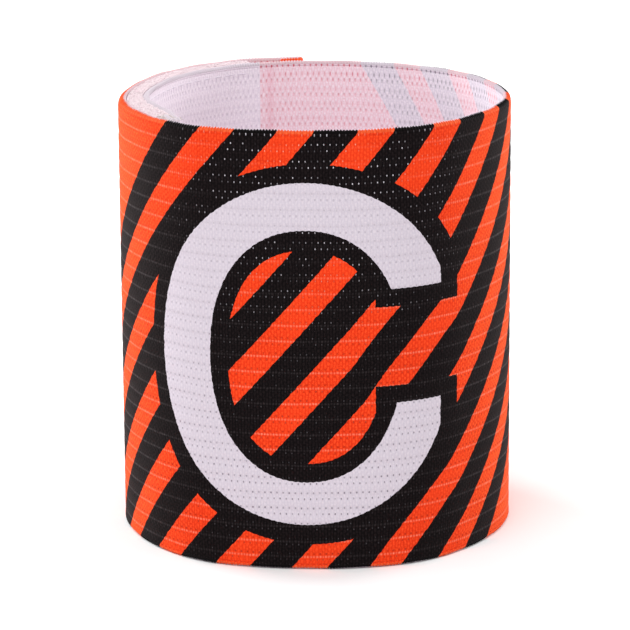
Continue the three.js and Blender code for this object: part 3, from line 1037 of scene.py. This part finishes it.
def curl(rng, turn, radius, base, up, near, far, room):
    """One curled fibre that stands up from a tape's edge by no more than room, in mm."""
    rise = rng.uniform(0.55, 1.0) * room
    reach = rng.uniform(0.3, 0.9)
    heading = rng.uniform(0, math.tau)
    bend = rng.uniform(-1.5, 1.5)
    path = []
    for i in range(5):
        share = i / 4
        angle = heading + bend * share
        r = min(max(radius + reach * share * math.sin(angle), near), far)
        along = reach * share * math.cos(angle)
        z = base + up * (rise * math.sin(math.pi * share * 0.85) - 0.15 * (1 - share))
        path.append(at_face(turn + math.degrees(along / radius), r, z))
    return path


class ARMBAND_OT_hook_tape(bpy.types.Operator):
    """Makes the hook tape inside the outer end, with its rows of nylon hooks"""
    bl_idname = "armband.hook_tape"
    bl_label = "Hook tape"

    def execute(self, context):
        size = sizes()
        first, last = tape_turns()[0]

        def far(turn):
            return back_face(turn) - size.seat

        def near(turn):
            return far(turn) - size.tape_ground

        low, high = size.tape_inset, size.height - size.tape_inset
        tape = wound_mesh("hook_tape_ground", tape_stations(first, last, near, far),
                          section_rows(low, high, TAPE_ROUND, 60, 4))
        woven = woven_tape("woven_hook_tape", "#CFC8D4", colours().tape)
        attach(tape, (woven,) * 3, "hook_tape")
        paths = []
        stem = size.hook_thickness - size.tape_ground
        for turn in spaced(first + 1.5, last - 1.5, HOOKS_ALONG):
            for z in spaced(low + 1.0, high - 1.0, HOOKS_UP):
                lean = 1 if round(z / HOOKS_UP) % 2 else -1
                paths.append([at_face(turn, near(turn) + 0.05 - stem * rise, z + lean * over)
                              for rise, over in ((0, 0), (0.65, 0), (0.92, 0.16), (0.95, 0.36),
                                                 (0.7, 0.46))])
        hooks = tubes("nylon_hooks", paths, HOOK)
        # Drawn nylon: pale, smooth and a little glossy beside the matt cloth
        nylon = yarn_material("drawn_nylon_hooks", "#DAD4DE", linear("#F2EEF4"), 0.35, 0.0)
        attach(hooks, (nylon,))
        sewn_tape(first, last, near)
        return {"FINISHED"}


def seam(turns, radius, heights, side):
    """Running stitches that follow a face: short arcs, sunk at both ends. Goes along the strip
    at one height, or up it at one turn."""
    paths = []
    if len(heights) == 1:
        stitch = SEAM_STITCH / STRIP_PER_DEGREE
        for turn in spaced(turns[0], turns[1], SEAM_PITCH / STRIP_PER_DEGREE)[:-1]:
            paths.append([(turn + stitch * share, heights[0]) for share in (0, 0.2, 0.5, 0.8, 1)])
    else:
        for z in spaced(heights[0], heights[1], SEAM_PITCH)[:-1]:
            paths.append([(turns[0], z + SEAM_STITCH * share) for share in (0, 0.2, 0.5, 0.8, 1)])
    rise = (-0.15, -0.05, -0.02, -0.05, -0.15)
    return [[at_face(turn, radius(turn) + side * up, z) for (turn, z), up in zip(path, rise)]
            for path in paths]


def zigzag(turns, radius, heights, side):
    """Zigzag stitches between two turns, up the height of a hem."""
    points = []
    for i, z in enumerate(spaced(heights[0], heights[1], ZIGZAG_PITCH)):
        points.append((turns[i % 2], z))
    paths = []
    for (turn_a, z_a), (turn_b, z_b) in zip(points, points[1:]):
        paths.append([at_face(mix(turn_a, turn_b, share), radius(mix(turn_a, turn_b, share))
                              + side * up, mix(z_a, z_b, share))
                      for share, up in ((0, -0.12), (0.15, 0.05), (0.5, 0.09), (0.85, 0.05),
                                        (1, -0.12))])
    return paths


class ARMBAND_OT_seams(bpy.types.Operator):
    """Sews the tapes down, binds the two hems and frays the inner end"""
    bl_idname = "armband.seams"
    bl_label = "Seams"

    def execute(self, context):
        size = sizes()
        inset = size.seam_inset
        heights = (inset, size.height - inset)
        (hook_first, hook_last), (loop_first, loop_last) = tape_turns()
        paths = []
        for first, last, ends, face, side in (
                (loop_first + 2, loop_last - 2, (loop_last - 2,), back_face, -1),
                (hook_first + 2, hook_last - 2, (hook_first + 2, hook_last - 2), printed_face, 1)):
            for z in heights:
                paths += seam((first, last), face, (z,), side)
            for turn in ends:
                paths += seam((turn,), face, heights, side)
        # Spun polyester thread: a pale line that catches more light than the knit
        pale = yarn_material("pale_polyester_thread", "#CFC5D2", linear("#EFE8F2"), 0.55, 0.1)
        attach(tubes("tape_seams", paths, SEAM_THREAD, 1), (pale,))

        hem = turn_of(2.4, OUTER_END)
        edge = turn_of(0.3, OUTER_END)
        span = (0.9, size.height - 0.9)
        paths = zigzag((OUTER_END + edge, OUTER_END + hem), printed_face, span, 1)
        paths += zigzag((INNER_END - edge, INNER_END - hem), back_face, span, -1)
        # The same thread, dyed nearly black, so that the zigzag reads against both faces
        dark = yarn_material("dark_polyester_thread", "#20181C", colours().thread, 0.6, 0.1)
        attach(tubes("hem_seams", paths, HEM_THREAD, 1), (dark,))

        rng = random.Random(5)
        paths = []
        near, far = back_face(INNER_END) + 0.1, printed_face(INNER_END) + size.wall
        for count, base, up in ((YARNS_ABOVE, size.height - 0.75, 1.0),
                                (YARNS_BELOW, 0.75, -1.0)):
            for _ in range(count):
                turn = INNER_END + rng.uniform(-6.5, 1.2)
                paths.append(curl(rng, turn, rng.uniform(near, far), base, up, near - 0.2,
                                  far + 0.3, 0.72))
        fray = tubes("frayed_yarn_ends", paths, FRAYED_YARN)
        # Cut yarn of the elastic: dull, warm white wisps that mark the raw edge
        wisps = yarn_material("frayed_polyester_yarn", "#D3C7C6", linear("#E6DCDA"), 0.9, 0.1)
        attach(fray, (wisps,))
        return {"FINISHED"}


# ---------------------------------------------------------------- stage

CAMERA_PLACE = Vector((-0.1703, -628.36, 189.25)) * MM
CAMERA_ELEVATION = 0.24048
CAMERA_ROLL = -0.0067
CAMERA_LENS = 211.22


def area_light(name, place, target, size, power):
    """A square soft box that faces a point."""
    light = bpy.data.objects.new(name, bpy.data.lights.new(name, "AREA"))
    light.data.shape = "SQUARE"
    light.data.size = size
    light.data.energy = power
    light.location = place
    light.rotation_euler = (Vector(target) - Vector(place)).to_track_quat("-Z", "Y").to_euler()
    bpy.context.scene.collection.objects.link(light)


class ARMBAND_OT_stage(bpy.types.Operator):
    """Adds the camera, the soft lights and the pale floor"""
    bl_idname = "armband.stage"
    bl_label = "Stage"

    def execute(self, context):
        scene = context.scene
        scene.view_settings.view_transform = "Standard"
        forward = Vector((0, math.cos(CAMERA_ELEVATION), -math.sin(CAMERA_ELEVATION)))
        right = Vector((1, 0, 0))
        up = right.cross(forward)
        turned = right * math.cos(CAMERA_ROLL) + up * math.sin(CAMERA_ROLL)
        up = up * math.cos(CAMERA_ROLL) - right * math.sin(CAMERA_ROLL)
        camera = bpy.data.objects.new("camera", bpy.data.cameras.new("camera"))
        camera.data.lens = CAMERA_LENS
        camera.data.sensor_width = 36.0
        camera.matrix_world = Matrix.Translation(CAMERA_PLACE) @ Matrix(
            (turned, up, -forward)).transposed().to_4x4()
        scene.collection.objects.link(camera)
        scene.camera = camera

        world = bpy.data.worlds.new("studio")
        scene.world = world
        world.use_nodes = True
        ground = world.node_tree.nodes["Background"]
        ground.inputs["Color"].default_value = linear("#FFFFFF")
        ground.inputs["Strength"].default_value = 0.8
        sun = bpy.data.objects.new("high_window", bpy.data.lights.new("high_window", "SUN"))
        sun.data.energy = 1.2
        sun.data.angle = math.radians(40)
        sun.rotation_euler = Vector((0.25, 0.55, -1.0)).to_track_quat("-Z", "Y").to_euler()
        scene.collection.objects.link(sun)
        area_light("left_box", (-0.8, 0.6, 0.35), (0, 0, 0.04), 0.5, 8.0)
        area_light("right_box", (0.8, 0.6, 0.35), (0, 0, 0.04), 0.5, 6.0)

        mesh = bmesh.new()
        bmesh.ops.create_grid(mesh, x_segments=1, y_segments=1, size=3.0)
        floor = finished("floor", mesh)
        # Matt paper with a faint grain: no gloss, so the floor stays an even pale sheet
        material = bpy.data.materials.new("matt_white_paper")
        material.use_nodes = True
        tree = material.node_tree
        shader = tree.nodes["Principled BSDF"]
        where = add_node(tree, "ShaderNodeTexCoord")
        grain = add_node(tree, NOISE, {"Vector": where.outputs["Object"], "Scale": 60.0})
        tone = add_node(tree, MIX, (grain.outputs["Fac"], linear("#F4F3F3"), linear("#F8F8F8")),
                        data_type="RGBA")
        tree.links.new(tone.outputs[2], shader.inputs["Base Color"])
        shader.inputs["Roughness"].default_value = 0.95
        floor.data.materials.append(material)
        return {"FINISHED"}


class ARMBAND_PT_panel(bpy.types.Panel):
    """Lists the armband's pieces and their sizes and colours"""
    bl_idname = "ARMBAND_PT_panel"
    bl_label = "Captain armband"
    bl_space_type = "VIEW_3D"
    bl_region_type = "UI"
    bl_category = "Armband"

    def draw(self, context):
        for group in (context.scene.armband_sizes, context.scene.armband_colours):
            for name in group.__annotations__:
                self.layout.prop(group, name)
        for operator in OPERATORS:
            self.layout.operator(operator.bl_idname)


OPERATORS = (ARMBAND_OT_stage, ARMBAND_OT_band, ARMBAND_OT_loop_tape, ARMBAND_OT_hook_tape,
             ARMBAND_OT_seams)
CLASSES = (ArmbandSizes, ArmbandColours, *OPERATORS, ARMBAND_PT_panel)


def register():
    for cls in CLASSES:
        bpy.utils.register_class(cls)
    bpy.types.Scene.armband_sizes = bpy.props.PointerProperty(type=ArmbandSizes)
    bpy.types.Scene.armband_colours = bpy.props.PointerProperty(type=ArmbandColours)


def unregister():
    del bpy.types.Scene.armband_colours
    del bpy.types.Scene.armband_sizes
    for cls in reversed(CLASSES):
        bpy.utils.unregister_class(cls)


def main():
    register()
    bpy.ops.armband.stage()
    bpy.ops.armband.band()
    bpy.ops.armband.loop_tape()
    bpy.ops.armband.hook_tape()
    bpy.ops.armband.seams()


if __name__ == "__main__":
    main()
